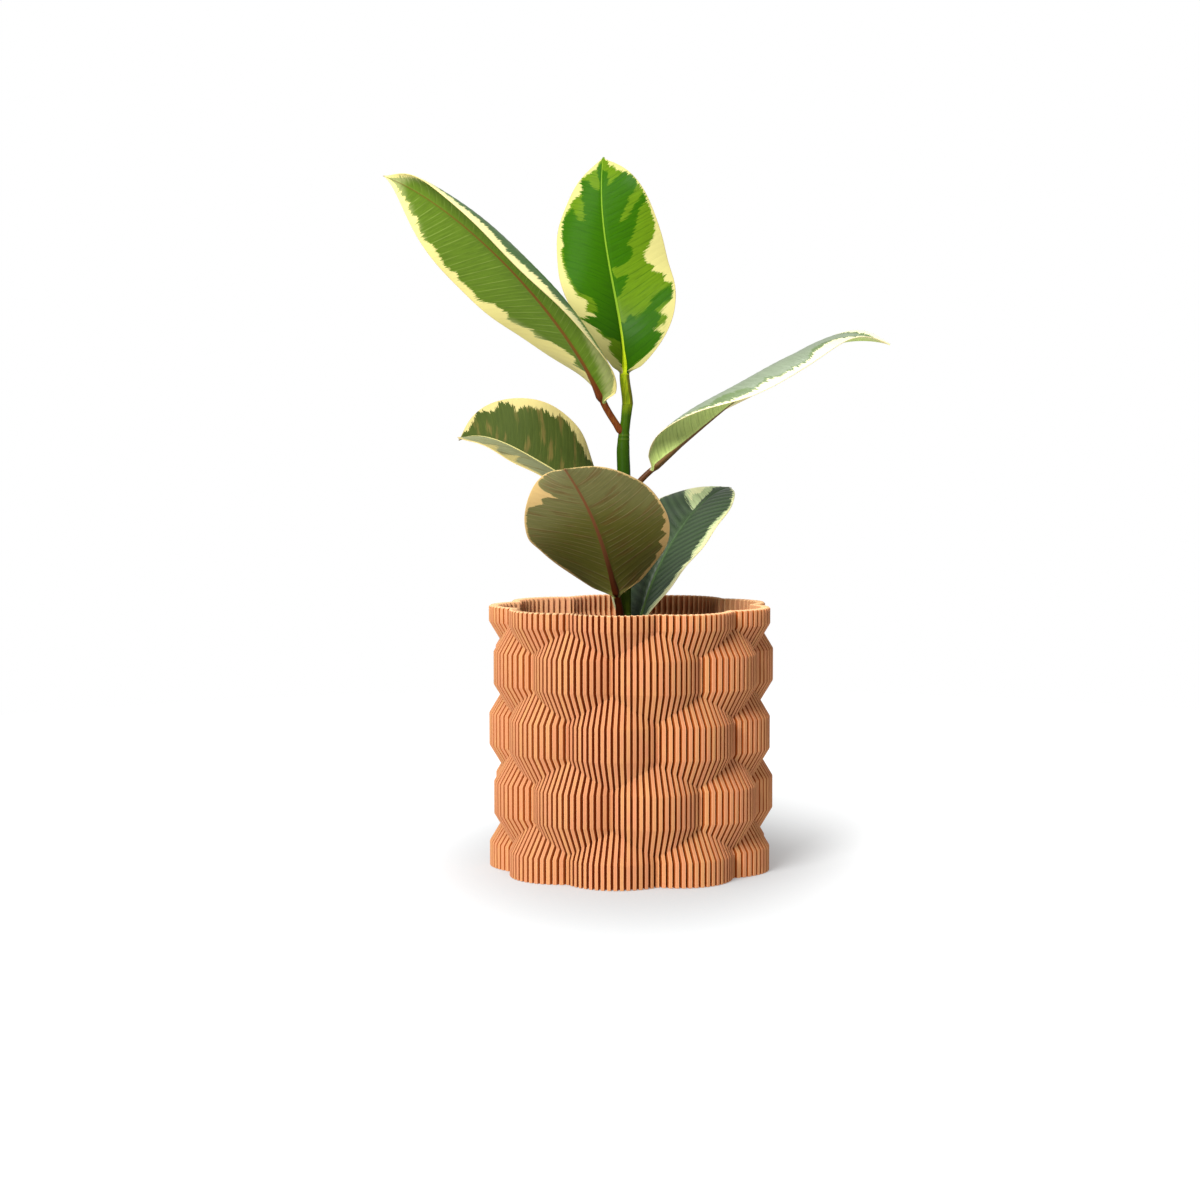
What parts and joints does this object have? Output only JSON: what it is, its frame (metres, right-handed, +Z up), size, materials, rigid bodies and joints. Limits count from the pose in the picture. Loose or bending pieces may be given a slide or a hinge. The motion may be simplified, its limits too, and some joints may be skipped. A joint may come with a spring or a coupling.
{
  "type": "potted rubber plant",
  "caption": "Young variegated rubber plant with broad glossy leaves on one upright stem, growing in a round lobed planter with fine upright ribs.",
  "frame": {"origin": "centre of the pot's flat underside, on the surface it stands on", "axes": "+Z straight up; -Y towards the front, where the low leaf leans out; +X to the right seen from the front"},
  "size_m": [0.2575, 0.1731, 0.3758],
  "materials": {
    "planter": "matte terracotta-coloured moulded wall with fine upright ribs",
    "potting_mix": "dark crumbly bark and peat mix",
    "stem": "smooth green bark, faintly shiny",
    "young_leaf": "glossy bright green with a cream edge",
    "pale_leaf": "satin pale underside, glossy grey-green top, cream edge",
    "old_leaf": "satin olive brown with a cream edge",
    "dark_leaf": "glossy blue-green with a cream edge"
  },
  "bodies": {
    "root": {"pot": "planter", "soil": "potting_mix", "stem": "stem", "leaf_top": "young_leaf", "leaf_upper_left": "pale_leaf", "leaf_right": "pale_leaf", "leaf_middle_left": "old_leaf", "leaf_front": "old_leaf", "leaf_lower_right": "dark_leaf"}
  },
  "joints": []
}
